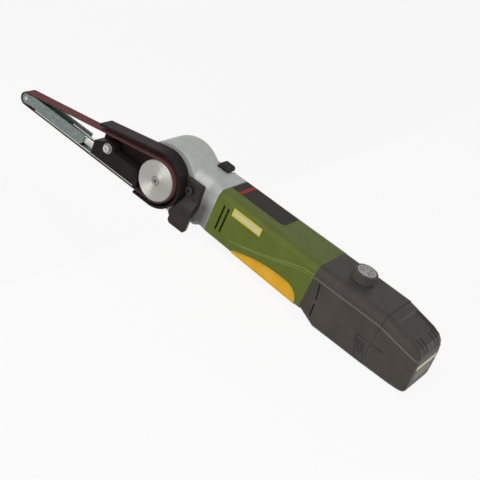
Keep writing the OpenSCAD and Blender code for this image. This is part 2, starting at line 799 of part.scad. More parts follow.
module micro_switch() color("#33302e") tool() {
    block(switch_x - 7, switch_x + 7, -4, 4, switch_low + 0.8, carrier_z);
    translate([switch_x, 0, 0]) bar_z(1.4, switch_low, carrier_z - 8);
}

// Rear casing and its electronics

module rear_casing() color(charcoal) tool() difference() {
    t = 2;
    union() {
        difference() {
            casing_form(0, seam_x, split_x);
            casing_form(t, seam_x - 1, split_x + 1);
        }
        // ledges for the circuit board
        both_sides() block(seam_x + 2, stem_x - 1.5, rear_w / 2 - 7.2, rear_w / 2 - 1, board_z - 2, board_z);
    }
    translate([knob_x, 0, 0]) bar_z(2, 0, 40);
    // notches for the battery's latches
    slab(-rear_w, rear_w) latch_outline(gap, 5);
    // cooling slits in the flanks
    slab(-rear_w, rear_w) for (s = [[5.8, 9.3, 8.2, -3.1], [8.6, -6.5, 9.6, -16]])
        translate([seam_x, 0]) polygon([[s[0], s[1]], [s[0] + 1, s[1]], [s[2] + 1, s[3]], [s[2], s[3]]]);
    for (y = [-5, 5]) translate([seam_x + 5, y, 0]) {
        bar_z(1.5, -40, 0);
        bar_z(3.1, -40, bottom_rear - 1);
    }
}

module casing_screws() color(steel) tool() for (y = [-5, 5]) translate([seam_x + 5, y, bottom_rear - 1])
    rotate([90, 0, 0]) pan_screw(2.7, 1.6, 1.5, 7);

module circuit_board() color("#3f5f3c") tool() {
    hw = rear_w / 2 - 4.7;
    block(seam_x - 31, stem_x - 1, -hw, hw, board_z, board_z + board_t);
    block(seam_x - 26, seam_x - 16, -8, 2, board_z + board_t, board_z + board_t + 3);
    translate([seam_x - 6, 8, 0]) bar_z(3, board_z + board_t, board_z + board_t + 3);
}

module potentiometer() color("#2f4f7a") tool() translate([knob_x, 0, 0]) difference() {
    bar_z(stem_x - knob_x - 0.2, board_z + board_t, casing_top - 2.6);
    bar_z(1.5 + play, board_z + board_t + 0.8, casing_top);
}

module terminal_block() color(black) tool() difference() {
    hw = rear_w / 2 - 7.7;
    block(flat_x, stem_x - 0.6, -hw, hw, floor_z + 2, -6);
    for (y = [-8, 0, 8]) block(flat_x + 2, stem_x, y - 1, y + 1, -16, -7.5);
}

module speed_knob() color(black) tool() translate([knob_x, 0, 0]) {
    ridges = 30;
    low = casing_top + gap;
    difference() {
        bar_z(knob_r, low, knob_top - 0.6);
        for (i = [0:ridges - 1]) rotate([0, 0, i * 360 / ridges]) translate([knob_r + 0.25, 0, low + 1])
            cylinder(r = 0.6, h = 10, $fn = 24);
        bar_z(knob_r - 1.6, knob_top - 1.4, knob_top);
    }
    bar_z(1.5, board_z + board_t + 1, low + 1);
}

module knob_cap() color("#b8b9b6") tool() translate([knob_x, 0, 0])
    bar_z(knob_r - 1.6, knob_top - 1.4, knob_top);

// Battery

// Places of the three cells
cell_places = [[-cell_r - 0.05, cell_z], [cell_r + 0.05, cell_z], [0, cell_z - cell_drop]];

module battery_form() {
    near = split_x + 0.2;
    hw = rear_w / 2;
    // sections of the rounded end: distance from it, inset, rise, drop and corner radius
    sections = [[12, 0.4, 0.3, 4.7, 6], [6.5, 0.6, 0.5, 6.8, 6.2], [3.7, 0.9, 0.8, 9.5, 6],
                [2.1, 1.3, 1.3, 13.1, 5.5], [1.2, 1.8, 1.9, 18, 4.6], [0.35, 2.7, 3, 29.6, 3.4],
                [slice, 3.8, 4.4, 34, 2]];
    hull() {
        corners(near, hw, floor_z + 0.1, casing_top - 0.4, 6);
        for (s = sections) corners(end_x - s[0], hw - s[1], floor_z + s[2], casing_top - s[3], s[4]);
    }
}

// Shallow dip in the battery's top, deeper towards its end
module thumb_dip() intersection() {
    dip_x = split_x + 5;
    slab(-rear_w, rear_w) translate([0, casing_top])
        polygon([[dip_x, 0], [dip_x + 3, -2.8], [end_x - 6, -7.6], [end_x + 1, -9.6], [end_x + 1, 0]]);
    hull() {
        both_sides() translate([dip_x + 7, 8, 0]) bar_z(7, 0, 40);
        block(end_x, end_x + 9, -16, 16, 0, 40);
    }
}

// Side view of a slot that follows the battery's top down to its end
module slot_outline() translate([end_x, casing_top])
    polygon([[-11.6, far], [-11.6, -7.4], [-7.4, -8.5], [-4.6, -10.9], [-3.1, -12.6], [1, -12.6], [1, far]]);

module battery_case() color(charcoal) tool() difference() {
    union() {
        battery_form();
        block(stem_x + 2, split_x + 1, -stem_w / 2, stem_w / 2, cell_z - cell_r - 0.8, stem_top);
        block(stem_x + 2, split_x + 1, -stem_low_w / 2, stem_low_w / 2, floor_z + 2.6, stem_top);
    }
    for (c = cell_places) translate([0, c[0], c[1]]) bar_x(cell_r, stem_x, cell_x + cell_len);
    both_sides() translate([latch_post_x, 0, latch_post_z])
        bar_y(latch_post_r + play, 0.7 * cell_r, stem_low_w);
    // room for the pressed latches beside the stem
    both_sides() translate([0, rear_w / 2 - latch_t - latch_travel - 0.4, 0])
        block(latch_x - 0.5, split_x, 0, rear_w, latch_low, latch_top + gap);
    thumb_dip();
    both_sides() for (y = [6.4, 11]) slab(y - end_slot_w / 2, y + end_slot_w / 2) slot_outline();
}

module battery_cells() color("#4f6f9a") tool()
    for (c = cell_places) translate([0, c[0], c[1]]) bar_x(cell_r, stem_x + 2, cell_x + cell_len);

module battery_front() color(black) tool() {
    block(stem_x, stem_x + 2, -stem_w / 2, stem_w / 2, cell_z - cell_r - 0.8, stem_top);
    block(stem_x, stem_x + 2, -stem_low_w / 2, stem_low_w / 2, floor_z + 2.6, cell_z - cell_r);
}

module battery_contacts() color(brass) tool()
    for (y = [-8, 0, 8]) block(stem_x - 5, stem_x, y - 0.4, y + 0.4, -15, -8.5);

// Side view of a latch, grown by g and run on past the seam
module latch_outline(g, past)
    polygon([[latch_x + 2.2 - g, latch_top + g], [split_x + past, latch_top + g],
             [split_x + past, latch_low - g], [latch_x + 5.2 - g, latch_low - g], [latch_x + 0.75 - g, latch_top - 2.2],
             [latch_x + 1 - g, latch_top - 0.7 + g / 2]]);

// Latch button on the near flank, with the post that guides it
module latch() {
    y0 = -rear_w / 2 + 0.1;
    y1 = y0 + latch_t;
    slab(y0, y1) latch_outline(0, 0);
    translate([latch_post_x, 0, latch_post_z]) bar_y(latch_post_r, y1 - eps, -latch_post_y);
}

module latch_near() color("#3a3633") tool() latch();
module latch_far() color("#3a3633") tool() mirror([0, 1, 0]) latch();

// Bare plates

module name_plate() color("#d8c870") tool() difference() {
    intersection() {
        housing_form(0.5, head_len, seam_x, 0);
        block(head_len + 15.5, head_len + 41.5, -rear_w, 0, 9.3, 15.4);
    }
    housing_form(0, head_len, seam_x, 0);
}

module rating_label() color("#2a2828") tool() difference() {
    intersection() {
        housing_form(0.3, head_len, seam_x, 0);
        block(head_len + 1, head_len + 48.5, -5, 14, 10, 30);
    }
    housing_form(0, head_len, seam_x, 0);
}

gear_head();
bearing_flange();
flange_screws();
front_bearing();
rear_bearing();
pinion_bearing();
retaining_ring();
side_bracket();
clamp_screw();
lock_button();
lock_bar();
lock_spring();
spindle();
crown_gear();
drive_roller();
roller_screw();
arm_guard();
arm_block();
arm_screw();
arm_washer();
platen();
sanding_belt();
fork();
guide_bar();
fork_rivet();
tip_pin();
tension_spring();
tip_roller();
motor_housing();
head_screws();
motor_plate();
motor_screws();
motor_can();
motor_magnets();
motor_end_bell();
motor_brushes();
motor_shaft();
armature();
cooling_fan();
pinion();
paddle();
paddle_pins();
paddle_spring();
switch_carrier();
micro_switch();
rear_casing();
casing_screws();
circuit_board();
potentiometer();
terminal_block();
speed_knob();
knob_cap();
battery_case();
battery_cells();
battery_front();
battery_contacts();
latch_near();
latch_far();
name_plate();
rating_label();
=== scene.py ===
import json
import math

import bmesh
import bpy
from mathutils import Euler, Matrix, Vector
from mathutils.bvhtree import BVHTree

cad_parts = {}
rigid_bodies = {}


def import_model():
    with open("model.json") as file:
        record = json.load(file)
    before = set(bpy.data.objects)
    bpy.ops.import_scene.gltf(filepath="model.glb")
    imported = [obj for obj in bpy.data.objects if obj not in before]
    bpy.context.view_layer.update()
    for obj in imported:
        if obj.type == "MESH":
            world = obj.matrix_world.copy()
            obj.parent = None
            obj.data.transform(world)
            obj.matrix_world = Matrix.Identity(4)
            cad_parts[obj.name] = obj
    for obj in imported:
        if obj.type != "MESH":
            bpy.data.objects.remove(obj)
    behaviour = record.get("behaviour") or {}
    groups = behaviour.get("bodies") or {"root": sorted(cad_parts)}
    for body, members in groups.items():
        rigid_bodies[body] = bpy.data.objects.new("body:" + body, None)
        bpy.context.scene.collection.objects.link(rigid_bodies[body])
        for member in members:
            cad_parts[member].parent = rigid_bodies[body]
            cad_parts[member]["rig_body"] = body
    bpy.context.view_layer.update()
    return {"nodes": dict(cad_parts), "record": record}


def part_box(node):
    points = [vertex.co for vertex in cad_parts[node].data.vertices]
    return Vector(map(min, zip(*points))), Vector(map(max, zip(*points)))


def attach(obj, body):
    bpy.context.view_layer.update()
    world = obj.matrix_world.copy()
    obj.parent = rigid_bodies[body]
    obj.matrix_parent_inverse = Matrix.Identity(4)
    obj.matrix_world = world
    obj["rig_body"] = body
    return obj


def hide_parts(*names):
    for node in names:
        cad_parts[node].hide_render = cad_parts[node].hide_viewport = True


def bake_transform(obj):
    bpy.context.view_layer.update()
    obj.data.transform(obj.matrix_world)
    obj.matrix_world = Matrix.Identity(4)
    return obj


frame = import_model()
nodes = frame["nodes"]
slot_of = {s["node"]: s["material_slot"] for s in frame["record"]["subparts"]}

# Sizes are written in millimetres, and the frame is in metres
MM = 0.001
# The drive axis on the tool's middle plane, in the frame
DRIVE_AXIS = Vector((-169.9, 0, 24)) * MM


def at(x, y, z):
    """A point measured in millimetres from the drive axis"""
    return DRIVE_AXIS + Vector((x, y, z)) * MM


def from_axis(point):
    """The millimetres from the drive axis to a point"""
    return (point - DRIVE_AXIS) / MM


def box_of(node):
    """The low and the high corner of a CAD node"""
    return [Vector(corner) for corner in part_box(node)]


def ramp(value, start, end):
    """0 at the start, 1 at the end, and level beyond them"""
    return min(max((value - start) / (end - start), 0), 1)


def in_scene(name, data):
    """A new object in the scene that holds the data"""
    made = bpy.data.objects.new(name, data)
    bpy.context.scene.collection.objects.link(made)
    return made


def mesh_as_shown(helper):
    """The mesh that a helper object shows; the helper itself goes"""
    shown = helper.evaluated_get(bpy.context.evaluated_depsgraph_get())
    mesh = bpy.data.meshes.new_from_object(shown)
    bpy.data.objects.remove(helper)
    return mesh


# Finishes

# Sockets of a Mix node for colours, which shares their names with those for numbers
FACTOR, TONE_A, TONE_B, TONE_OUT = 0, 6, 7, 2


def colour(code):
    """sRGB hex to linear"""
    part = [int(code[i:i + 2], 16) / 255 for i in (1, 3, 5)]
    return [c / 12.92 if c <= 0.04045 else ((c + 0.055) / 1.055) ** 2.4 for c in part] + [1.0]


def specular(level):
    """How strongly a coat mirrors; a grained moulding scatters most of its gloss"""
    return {"Specular IOR Level": level}


def add(tree, kind, settings=None, values=None, links=None):
    """One shader node with its settings, its socket values and what is linked into it"""
    node = tree.nodes.new("ShaderNode" + kind)
    for key, value in (settings or {}).items():
        setattr(node, key, value)
    for key, value in (values or {}).items():
        node.inputs[key].default_value = value
    for key, source in (links or {}).items():
        tree.links.new(source, node.inputs[key])
    return node


def finish(name, low, high, patch, rough, grain, depth, metal=0.0, wear_and_painted_light=None, sockets=None):
    """Two close tones in patches, a fine grain in the bump, and a marked tone where faces are
    marked:
    pale on edges for wear and painted highlight, dark on the casting for painted shade; patch,
    grain and depth are in millimetres, rough is the least and most roughness"""
    material = bpy.data.materials.new(name)
    material.use_nodes = True
    tree = material.node_tree
    shader = tree.nodes["Principled BSDF"]
    for key, value in {"Metallic": metal, **(sockets or {})}.items():
        shader.inputs[key].default_value = value
    place = {"Vector": add(tree, "TexCoord").outputs["Object"]}
    clouds, specks = (
        add(tree, "TexNoise", values={"Scale": 1 / (size * MM), "Detail": detail}, links=place)
        for size, detail in ((patch, 4.0), (grain, 2.0)))
    cloud_value = {"Value": clouds.outputs["Fac"]}
    share = add(tree, "MapRange", values={"From Min": 0.3, "From Max": 0.7}, links=cloud_value)
    tone = add(tree, "Mix", {"data_type": "RGBA"}, {TONE_A: colour(low), TONE_B: colour(high)},
               {FACTOR: share.outputs[0]})
    if wear_and_painted_light:
        marked = add(tree, "Attribute", {"attribute_name": "eased"})
        tone = add(tree, "Mix", {"data_type": "RGBA"}, {TONE_B: colour(wear_and_painted_light)},
                   {FACTOR: marked.outputs["Fac"], TONE_A: tone.outputs[TONE_OUT]})
    gloss = add(tree, "MapRange", values={"To Min": rough[0], "To Max": rough[1]},
                links=cloud_value)
    bump = add(tree, "Bump", values={"Strength": 0.6, "Distance": depth * MM},
               links={"Height": specks.outputs["Fac"]})
    tree.links.new(tone.outputs[TONE_OUT], shader.inputs["Base Color"])
    tree.links.new(gloss.outputs[0], shader.inputs["Roughness"])
    tree.links.new(bump.outputs["Normal"], shader.inputs["Normal"])
    return material


# The pale tones for marked faces lie on eased edges and on flank creases: partly wear, partly
# painted highlight
SATIN = specular(0.05)
# Moulded ABS: an even spark-eroded grain, drawn coarser than its real 0.1 mm so that it shows,
# and pale edges: partly rubbing, partly painted highlight
green_abs = finish("moulded_green_abs", "#5f6c2e", "#677434", 14, (0.28, 0.38), 0.7, 0.03,
                   wear_and_painted_light="#98a56a", sockets=specular(0.09))
charcoal_abs = finish("moulded_charcoal_abs", "#4a4541", "#524d48", 12, (0.36, 0.48), 0.7, 0.03,
                      wear_and_painted_light="#8a857f", sockets=specular(0.08))
amber_abs = finish("moulded_amber_abs", "#e2aa2e", "#edb73c", 10, (0.34, 0.46), 0.7, 0.02,
                   wear_and_painted_light="#efc75c", sockets=SATIN)
# Glass-filled nylon: darker, with a broad soft gloss
black_nylon = finish("moulded_black_nylon", "#242020", "#2c2727", 9, (0.36, 0.5), 0.6, 0.03,
                     wear_and_painted_light="#5e5856", sockets=SATIN)
# The bracket is cast in zinc and painted, so it is a little greyer and shinier
black_paint = finish("black_painted_zinc", "#2c2625", "#352e2d", 7, (0.3, 0.42), 0.6, 0.02,
                     wear_and_painted_light="#4a4341", sockets=specular(0.18))
# Bead-blasted die casting: satin silver with faint flow patches, and painted shade where it is
# marked
cast_alloy = finish("blasted_die_cast_alloy", "#aaaca8", "#b8b9b5", 10, (0.48, 0.58), 0.5, 0.02,
                    metal=0.45, wear_and_painted_light="#4c4c4a")
# Turned aluminium: rings left by the lathe tool stretch the highlight across them
turned_alloy = finish("turned_aluminium", "#b2b0aa", "#bebcb6", 9, (0.46, 0.52), 0.9, 0.002,
                      metal=1.0, sockets={"Anisotropic": 0.9})
# Zinc-plated pressed steel: cold grey with cloudy crystals about 2 mm across
zinc_steel = finish("zinc_plated_steel", "#66726f", "#86928f", 2.2, (0.36, 0.54), 1.2, 0.02,
                    metal=0.35, wear_and_painted_light="#b4bcba")
# Machined steel: clean and bright, with pale edges: partly polish, partly painted highlight
bright_steel = finish("machined_steel", "#b6b7b5", "#c9cac8", 5, (0.24, 0.38), 0.6, 0.01,
                      metal=1.0, wear_and_painted_light="#dcdcda")
# Screw heads: turned steel gone dull
dull_steel = finish("dull_screw_steel", "#85837e", "#98968f", 3, (0.4, 0.55), 0.5, 0.02,
                    metal=0.7, wear_and_painted_light="#b5b3ac")
# Blackened steel: an oxide coat, with pale edges: partly wear through the coat, partly painted
# highlight
black_steel = finish("blackened_steel", "#2b2a2a", "#383635", 3, (0.32, 0.48), 0.5, 0.02,
                     metal=0.6, wear_and_painted_light="#85817e")
# Abrasive cloth: grit drawn at 0.9 mm, where the real one is nearer 0.25 mm
abrasive = finish("aluminium_oxide_cloth", "#754849", "#905e5e", 1.1, (0.75, 0.95), 0.9, 0.12,
                  wear_and_painted_light="#8a5a55", sockets=SATIN)
# Back of the belt: bare brown cloth with its weave
cloth_back = finish("belt_backing_cloth", "#4d3b38", "#5c4843", 1.6, (0.8, 0.95), 0.8, 0.05,
                    sockets=SATIN)
# Pieces inside: magnets, windings, contacts, board, dial's resistor and cells
ferrite = finish("sintered_ferrite", "#4c4945", "#5b5853", 4, (0.6, 0.8), 0.5, 0.02)
copper = finish("wound_copper", "#80502f", "#9a6640", 1.5, (0.35, 0.5), 0.6, 0.04, metal=0.9)
brass = finish("brass_strip", "#ab8b40", "#bf9f55", 5, (0.25, 0.4), 0.6, 0.01, metal=1.0)
laminate = finish("solder_resist_laminate", "#38573a", "#456640", 3, (0.3, 0.45), 0.8, 0.02)
blue_body = finish("moulded_blue_plastic", "#2b4970", "#345480", 5, (0.4, 0.5), 0.6, 0.02)
cell_wrap = finish("shrink_wrap_film", "#4a6993", "#54749f", 8, (0.22, 0.34), 1.5, 0.01)
# Printed pieces: smooth coats with next to no grain
dial_print = finish("printed_dial_face", "#a3a4a1", "#b0b1ae", 3, (0.42, 0.55), 0.6, 0.01)
dial_ink = finish("dark_dial_print", "#33302f", "#3d3a39", 2, (0.5, 0.6), 0.6, 0.01)
plate_frame = finish("yellow_enamelled_plate", "#cdbd2f", "#d8c93e", 5, (0.3, 0.42), 0.8, 0.01,
                     wear_and_painted_light="#e0d578")
plate_field = finish("pale_plate_field", "#cac295", "#d4cda6", 4, (0.35, 0.45), 0.8, 0.01)
label_film = finish("black_label_film", "#322e2d", "#3a3635", 6, (0.32, 0.42), 1.0, 0.01,
                    sockets=SATIN)
label_red = finish("red_label_print", "#9c2f33", "#ab373a", 4, (0.32, 0.42), 1.0, 0.01,
                   sockets=SATIN)
label_pale = finish("cream_label_print", "#ddd7b6", "#e6e1c4", 4, (0.4, 0.5), 1.0, 0.01,
                    sockets=SATIN)

slot_finish = {
    "green_shell": green_abs, "charcoal_shell": charcoal_abs, "black_plastic": black_nylon,
    "amber_plastic": amber_abs, "cast_alloy": cast_alloy, "turned_alloy": turned_alloy,
    "zinc_steel": zinc_steel, "steel": bright_steel, "abrasive": abrasive, "magnet": ferrite,
    "copper": copper, "brass": brass, "board": laminate, "pot_body": blue_body,
    "cell": cell_wrap, "dial_face": dial_print, "plate": plate_frame, "label": label_film}
for name, node in nodes.items():
    node.data.materials.clear()
    node.data.materials.append(slot_finish[slot_of[name]])
# The plate that carries the motor shows behind a vent slot, and is blackened
nodes["motor_plate"].data.materials[0] = black_steel

# The lathe's rings run round the roller, so its gloss spreads along the radius, which is u in
# the map of the rings
ring_tree = turned_alloy.node_tree
turning = add(ring_tree, "Tangent", {"direction_type": "UV_MAP", "uv_map": "rings"})
ring_tree.links.new(turning.outputs[0], ring_tree.nodes["Principled BSDF"].inputs["Tangent"])


# Shaping

# Degrees: faces this close to flat are joined, and edges up to the other are shaded smooth
FLAT_ANGLE, SMOOTH_ANGLE = 0.4, 35
# How much of the pale edge tone an eased edge takes, of 1: partly wear, partly painted highlight
EDGE_PALE_SHARE = 0.6


def cad_copy(name):
    """A CAD node's mesh as one closed skin, with its flat triangles joined to whole faces"""
    skin = bmesh.new()
    skin.from_mesh(nodes[name].data)
    bmesh.ops.remove_doubles(skin, verts=skin.verts, dist=0.002 * MM)
    bmesh.ops.dissolve_limit(skin, angle_limit=math.radians(FLAT_ANGLE), verts=skin.verts,
                             edges=skin.edges)
    return skin


def slice_at(skin, point, across):
    """Cuts the skin's faces along a plane, and keeps both sides"""
    bmesh.ops.bisect_plane(skin, geom=skin.verts[:] + skin.edges[:] + skin.faces[:],
                           dist=0.001 * MM, plane_co=point, plane_no=across)


def round_off(skin, geom, width, steps, affect="EDGES", clamp=False):
    """Rounds edges or corners in so many steps, and gives the new faces"""
    made = bmesh.ops.bevel(skin, geom=geom, offset=width * MM, offset_type="OFFSET",
                           segments=steps, profile=0.5, affect=affect, clamp_overlap=clamp,
                           material=-1)
    return made["faces"]


def verts_in(geom):
    """The vertices among what an operator gives back"""
    return [v for v in geom if isinstance(v, bmesh.types.BMVert)]


def rub(face, mark, share):
    """Marks a whole face with a share of the marked tone"""
    for corner in face.loops:
        corner[mark] = (share, share, share, 1)


def rub_mark(skin):
    """The layer that says how much of the marked tone a face takes, nought where nothing has been
    marked
    """
    mark = skin.loops.layers.float_color.get("eased")
    if not mark:
        mark = skin.loops.layers.float_color.new("eased")
        for face in skin.faces:
            rub(face, mark, 0)
    return mark


def ease(skin, width, angle=28):
    """Rounds every outer edge sharper than the angle, and paints the new faces pale: partly
    rubbing, partly painted highlight
    """
    mark = rub_mark(skin)
    skin.normal_update()
    sharp = [e for e in skin.edges if e.is_manifold and e.is_convex
             and e.calc_face_angle(0) > math.radians(angle)]
    for face in round_off(skin, sharp, width, 2, clamp=True):
        rub(face, mark, EDGE_PALE_SHARE)
    return skin


def piece(name, skin, finishes, body, slot, *stands_for):
    """Makes a smooth object of the skin, and sets it on its body, if it has one"""
    mesh = bpy.data.meshes.new(name)
    skin.to_mesh(mesh)
    skin.free()
    for face in mesh.polygons:
        face.use_smooth = True
    mesh.set_sharp_from_angle(angle=math.radians(SMOOTH_ANGLE))
    for one in finishes:
        mesh.materials.append(one)
    made = in_scene(name, mesh)
    flats = made.modifiers.new("even_flats", "WEIGHTED_NORMAL")
    flats.keep_sharp = True
    if body:
        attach(made, body)
    if stands_for:
        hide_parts(*stands_for)
    return made


# Small pieces: the CAD node itself with rounded edges, some in another finish than their slot's
for name, width, other_finish in (
        ("lock_button", 0.3, None), ("arm_guard", 0.3, None), ("arm_block", 0.4, None),
        ("platen", 0.1, None), ("fork", 0.16, None), ("fork_rivet", 0.2, None),
        ("tip_pin", 0.2, None), ("tip_roller", 0.2, None), ("paddle", 0.5, None),
        ("casing_screws", 0.2, None), ("speed_knob", 0.15, charcoal_abs),
        ("clamp_screw", 0.2, black_steel), ("arm_washer", 0.12, dull_steel),
        ("arm_screw", 0.2, bright_steel), ("roller_screw", 0.12, dull_steel),
        ("guide_bar", 0.3, bright_steel)):
    skin = ease(cad_copy(name), width)
    piece(name + "_eased", skin, [other_finish or slot_finish[slot_of[name]]],
          nodes[name]["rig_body"], slot_of[name], name)


# Gear head and bracket: castings whose forms run into each other, so their skins are remeshed
# and smoothed

# Room that the casting keeps round the lock, and the presses it is kept at; 2.5 is the stop
LOCK_ROOM = 0.7
LOCK_PRESSES = (0, 1.25, 2.5, 3.6)
# Millimetres from the drive axis: the bearings' seats on both sides and their radius, the flange,
# the radius round the button's hole, and the bracket's seat on the head
NEAR_SEAT, FAR_SEAT, SEAT_RADIUS, FLANGE_X, LOCK_SEAT = -15.4, 13.4, 21.2, 42, 8
BRACKET_SEAT = -16.3
# How strong the painted shade in the neck's hollow is at its darkest, of 1
NECK_PAINTED_SHADE = 0.8


def blended_casting(name, voxel, rounds, bare):
    """The node's skin on an even mesh, smoothed where it is bare and left alone at its seats"""
    rough = bpy.data.meshes.new(name)
    skin = cad_copy(name)
    skin.to_mesh(rough)
    skin.free()
    helper = in_scene(name, rough)
    remesh = helper.modifiers.new("even_skin", "REMESH")
    remesh.mode = "VOXEL"
    remesh.voxel_size = voxel * MM
    even = mesh_as_shown(helper)
    form = bmesh.new()
    form.from_mesh(even)
    bpy.data.meshes.remove(even)
    free = [v for v in form.verts if bare(from_axis(v.co))]
    for _ in range(rounds):
        bmesh.ops.smooth_vert(form, verts=free, factor=0.5,
                              use_axis_x=True, use_axis_y=True, use_axis_z=True)
    return form


def leave_room(form, mover, press):
    """Pushes a fine skin clear of a moving node that has been pressed down"""
    other = cad_copy(mover)
    bmesh.ops.translate(other, vec=(0, 0, -press * MM), verts=other.verts)
    skin = BVHTree.FromBMesh(other)
    for vert in form.verts:
        spot, out, _, _ = skin.find_nearest(vert.co, 2 * MM)
        if spot and (vert.co - spot).dot(out) < LOCK_ROOM * MM:
            vert.co = spot + out * LOCK_ROOM * MM
    other.free()


button = from_axis(sum(box_of("lock_button"), Vector()) / 2)


def head_is_bare(spot):
    """Away from the flange, the bearing seats and the lock button's hole"""
    past_bore = spot.y > FAR_SEAT or math.hypot(spot.x, spot.z) > SEAT_RADIUS
    off_button = (spot - button).xy.length > LOCK_SEAT
    return spot.x < FLANGE_X and spot.y > NEAR_SEAT and past_bore and off_button


def neck_grime(spot):
    """Painted shade in the hollow of the neck's sides: it fades along the tool, towards the middle
    plane, upwards and towards the drum"""
    along = ramp(abs(spot.x - 38), 13, 0)
    aside = ramp(abs(spot.y), 8, 14)
    below = ramp(spot.z, 9, 0)
    off_drum = ramp(math.hypot(spot.x, spot.z), 23, 28)
    return NECK_PAINTED_SHADE * along * aside * below * off_drum


head = blended_casting("gear_head", 0.6, 20, head_is_bare)
for name in ("lock_button", "lock_bar"):
    for press in LOCK_PRESSES:
        leave_room(head, name, press)
# The casting's marks are painted shade in the neck's hollow, on both sides
head_mark = rub_mark(head)
for face in head.faces:
    for corner in face.loops:
        painted_shade = neck_grime(from_axis(corner.vert.co))
        corner[head_mark] = (painted_shade, painted_shade, painted_shade, 1)
piece("cast_gear_head", head, [cast_alloy], "tool", "cast_alloy", "gear_head")
bracket = blended_casting("side_bracket", 0.4, 14, lambda spot: spot.y < BRACKET_SEAT)
piece("painted_bracket", bracket, [black_paint], "tool", slot_of["side_bracket"], "side_bracket")


# Mouldings: raised panels on the flanks, below lines along the side

# Millimetres: how far the flanks are drawn in, of half their width, and the breadth of a crease
SINK, HALF_WIDTH, CREASE = 0.35, 20.0, 0.36
# Millimetres behind its front end over which the step and the painted highlights on its creases
# grow, and the share of the highlight that the creases start with
STEP_GROWS, HIGHLIGHT_GROWS, HIGHLIGHT_LEAST = 16, 30, 0.3


def line_height(line, x):
    """Height of a side line at a station, in millimetres"""
    for (x0, z0), (x1, z1) in zip(line, line[1:]):
        if x <= x1:
            return z0 + (z1 - z0) * (x - x0) / (x1 - x0)
    return line[-1][1]


def lifted(line, by=0.7):
    """A side line at another height"""
    return [(x, z + by) for x, z in line]


def flank_step(skin, low, high, crease_highlights):
    """Draws the flanks in above a side line; the slope lies between two lines, and its creases
    are painted pale by the two shares, as painted highlights"""
    start, end = low[0][0], low[-1][0]
    for line in (low, high):
        for (x0, z0), (x1, z1) in zip(line, line[1:]):
            for lift in (-CREASE / 2, CREASE / 2):
                slice_at(skin, at(x0, 0, z0 + lift), Vector((z0 - z1, 0, x1 - x0)).normalized())
    for x, _ in low[:-1]:
        slice_at(skin, at(x, 0, 0), (1, 0, 0))
    mark = rub_mark(skin)
    skin.normal_update()
    for face in skin.faces:
        spot = from_axis(face.calc_center_median())
        if abs(face.normal.y) > 0.4 and start < spot.x < end:
            grown = min((spot.x - start) / HIGHLIGHT_GROWS + HIGHLIGHT_LEAST, 1)
            # Painted highlight on the step's creases
            for line, share in zip((low, high), crease_highlights):
                if abs(spot.z - line_height(line, spot.x)) < CREASE / 2:
                    rub(face, mark, share * grown)
    for vert in skin.verts:
        spot = from_axis(vert.co)
        drawn = ramp(spot.z, line_height(low, spot.x), line_height(high, spot.x))
        drawn *= ramp(spot.x, start, start + STEP_GROWS)
        vert.co.y *= 1 - drawn * SINK / HALF_WIDTH
    return skin


def cut_groove(skin, xs, zs, depth, lean=0.0):
    """Sinks a strip of both flanks, between two stations and two heights; it leans back by so
    much per millimetre downwards"""
    for x in xs:
        slice_at(skin, at(x, 0, zs[1]), (1, 0, lean))
    for z in zs:
        slice_at(skin, at(0, 0, z), (0, 0, 1))
    strip = []
    for face in skin.faces:
        spot = from_axis(face.calc_center_median())
        along = spot.x + lean * (spot.z - zs[1])
        outer = abs(face.normal.y) > 0.7 and face.normal.y * spot.y > 0
        if outer and xs[0] < along < xs[1] and zs[0] < spot.z < zs[1]:
            strip.append(face)
    bmesh.ops.inset_region(skin, faces=strip, thickness=0.04 * MM, depth=-depth * MM,
                           use_even_offset=True)


# Motor housing: its line climbs from the head to the casing, and the slope widens on the way
grip_high = [(64.7, -8.8), (72, -7.2), (80, -5.2), (88, -2.9), (96, -0.4), (104, 2.5),
             (111, 5.3), (117, 7.8), (122, 9.7), (127, 10.9), (136, 11.5)]
grip_low = [(x, z - 0.4 - 1.8 * (x - 64.7) / 71) for x, z in grip_high]
housing = flank_step(cad_copy("motor_housing"), grip_low, grip_high, (0.45, 0.8))
piece("green_housing", ease(housing, 0.25), [green_abs], "tool", "green_shell", "motor_housing")

# Rear casing: a level line
casing_line = [(118, 10.2), (150, 10.2), (191, 10.1)]
casing = flank_step(cad_copy("rear_casing"), casing_line, lifted(casing_line), (0.9, 0.2))
piece("dark_casing", ease(casing, 0.3), [charcoal_abs], "tool", "charcoal_shell", "rear_casing")

# Battery: the casing's line runs on and falls to the end, with a groove behind each latch
battery_line = [(150, 10.1), (190.5, 10.1), (212.2, 6.2), (226, 3.7)]
battery = flank_step(cad_copy("battery_case"), battery_line, lifted(battery_line), (0.9, 0.2))
cut_groove(battery, (192.0, 202.5), (-4.9, -4.2), 0.5)
piece("battery_shell", ease(battery, 0.5, 18), [charcoal_abs], "battery", "charcoal_shell",
      "battery_case")

